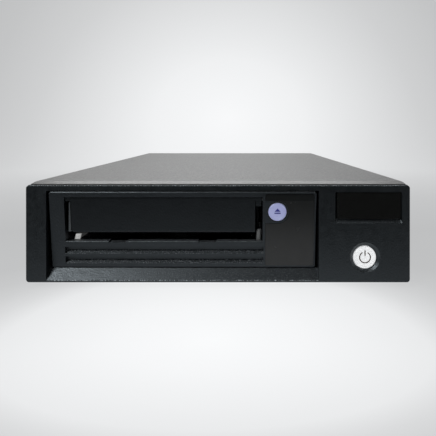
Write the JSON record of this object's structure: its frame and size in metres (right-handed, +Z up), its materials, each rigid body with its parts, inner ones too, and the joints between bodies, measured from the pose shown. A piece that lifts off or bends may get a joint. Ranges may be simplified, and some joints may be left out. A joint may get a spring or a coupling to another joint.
{
  "type": "tape drive",
  "caption": "Tabletop data tape drive: cartridge drive with hinged door, eject button and status window in a metal enclosure with moulded front bezel, fan, power supply and rear ports.",
  "frame": {"origin": "centre of the bounding box on the surface it stands on", "axes": "+X right seen from the front, +Y to the back, +Z up; the front faces -Y"},
  "size_m": [0.213, 0.3319, 0.058],
  "materials": {
    "bezel": "fine textured",
    "drive_front": "fine textured",
    "window": "smoked gloss",
    "badge": "gloss",
    "button_white": "satin",
    "button_lilac": "satin",
    "post": "satin",
    "flag": "satin",
    "cover_paint": "fine textured paint",
    "steel": "plated sheet",
    "casting": "cast",
    "black_plastic": "moulded",
    "rubber": "matte",
    "screw": "zinc plated",
    "board": "circuit board",
    "brass": "turned",
    "gear_plastic": "moulded",
    "ribbon": "flat cable",
    "tray": "moulded"
  },
  "bodies": {
    "enclosure": {"front_bezel": "bezel", "badge_plate": "badge", "power_switch": "board", "top_cover": "cover_paint", "base_chassis": "steel", "rubber_feet": "rubber", "rear_panel": "cover_paint", "panel_screws": "screw", "fan_housing": "black_plastic", "fan_guard": "steel", "fan_screws": "screw", "power_inlet": "black_plastic", "inlet_pins": "steel", "port_board": "board", "data_ports": "steel", "jack_posts": "screw", "drive_bezel": "drive_front", "status_window": "window", "door_pin": "steel", "guide_post": "post", "panel_board": "board", "drive_base": "casting", "drive_cover": "steel", "bracket_left": "steel", "bracket_right": "steel", "drive_screws": "screw", "loader_shaft": "steel", "loader_motor": "steel", "supply_motor": "casting", "takeup_motor": "casting", "roller_posts": "steel", "head_stepper": "steel", "threader_post": "steel", "board_posts": "steel", "main_board": "board", "drive_connector": "black_plastic", "ribbon_cable": "ribbon", "supply_board": "board", "supply_transformer": "steel", "supply_heatsinks": "casting", "supply_capacitors": "black_plastic"},
    "power_button": {"power_button": "button_white"},
    "cartridge_door": {"cartridge_door": "drive_front"},
    "eject_button": {"eject_button": "button_lilac"},
    "fan_rotor": {"fan_rotor": "black_plastic"},
    "cartridge_tray": {"cartridge_tray": "tray", "cartridge_flag": "flag"},
    "loader_gear": {"loader_gear": "gear_plastic"},
    "loader_worm": {"loader_worm": "brass"},
    "supply_hub": {"supply_hub": "gear_plastic"},
    "takeup_reel": {"takeup_reel": "gear_plastic"},
    "guide_roller_1": {"guide_roller_1": "casting"},
    "guide_roller_2": {"guide_roller_2": "casting"},
    "guide_roller_3": {"guide_roller_3": "casting"},
    "guide_roller_4": {"guide_roller_4": "casting"},
    "head_carriage": {"head_carriage": "casting", "tape_head": "casting"},
    "lead_screw": {"lead_screw": "steel"},
    "threader_arm": {"threader_arm": "steel", "pin_grabber": "steel"}
  },
  "joints": [
    {"name": "power_press", "type": "slide", "parent": "enclosure", "child": "power_button", "axis": [0, 0.9942, -0.1078], "range_m": [0, 0.0015], "stiffness_N_per_m": 400},
    {"name": "eject_press", "type": "slide", "parent": "enclosure", "child": "eject_button", "axis": [0, 1, 0], "range_m": [0, 0.001], "stiffness_N_per_m": 400},
    {"name": "door_swing", "type": "hinge", "parent": "enclosure", "child": "cartridge_door", "pos_m": [0, -0.1579, 0.0489], "axis": [1, 0, 0], "range_deg": [0, 88], "stiffness_Nm_per_rad": 0.002, "springref_deg": -11.46},
    {"name": "fan_spin", "type": "hinge", "parent": "enclosure", "child": "fan_rotor", "pos_m": [0.005, 0.1537, 0.03065], "axis": [0, 1, 0], "continuous": true},
    {"name": "tray_slide", "type": "slide", "parent": "enclosure", "child": "cartridge_tray", "axis": [0, 1, 0], "range_m": [0, 0.012]},
    {"name": "loader_gear_spin", "type": "hinge", "parent": "enclosure", "child": "loader_gear", "pos_m": [0.0337, -0.08, 0.0243], "axis": [0, 0, 1], "range_deg": [-88, 2]},
    {"name": "loader_worm_spin", "type": "hinge", "parent": "enclosure", "child": "loader_worm", "pos_m": [0.0451, -0.08, 0.0261], "axis": [0, 1, 0], "range_deg": [-10, 1380]},
    {"name": "supply_spin", "type": "hinge", "parent": "enclosure", "child": "supply_hub", "pos_m": [-0.0303, -0.088, 0.02], "axis": [0, 0, 1], "continuous": true},
    {"name": "takeup_spin", "type": "hinge", "parent": "enclosure", "child": "takeup_reel", "pos_m": [-0.042, 0.01, 0.025], "axis": [0, 0, 1], "continuous": true},
    {"name": "roller_1_spin", "type": "hinge", "parent": "enclosure", "child": "guide_roller_1", "pos_m": [-0.002, -0.016, 0.03], "axis": [0, 0, 1], "continuous": true},
    {"name": "roller_2_spin", "type": "hinge", "parent": "enclosure", "child": "guide_roller_2", "pos_m": [0.02, -0.014, 0.03], "axis": [0, 0, 1], "continuous": true},
    {"name": "roller_3_spin", "type": "hinge", "parent": "enclosure", "child": "guide_roller_3", "pos_m": [0.02, 0.03, 0.03], "axis": [0, 0, 1], "continuous": true},
    {"name": "roller_4_spin", "type": "hinge", "parent": "enclosure", "child": "guide_roller_4", "pos_m": [0, 0.034, 0.03], "axis": [0, 0, 1], "continuous": true},
    {"name": "head_lift", "type": "slide", "parent": "enclosure", "child": "head_carriage", "axis": [0, 0, 1], "range_m": [-0.002, 0.003]},
    {"name": "lead_screw_spin", "type": "hinge", "parent": "enclosure", "child": "lead_screw", "pos_m": [0.044, 0.008, 0.03], "axis": [0, 0, 1], "range_deg": [-365, 545]},
    {"name": "threader_swing", "type": "hinge", "parent": "enclosure", "child": "threader_arm", "pos_m": [-0.0049, 0.0155, 0.043], "axis": [0, 0, 1], "range_deg": [-108, 0]}
  ],
  "couplings": [
    {"joint": "loader_gear_spin", "follows": "tray_slide", "rad_per_m": -125},
    {"joint": "loader_worm_spin", "follows": "tray_slide", "rad_per_m": 2000},
    {"joint": "lead_screw_spin", "follows": "head_lift", "rad_per_m": 3141.6}
  ]
}
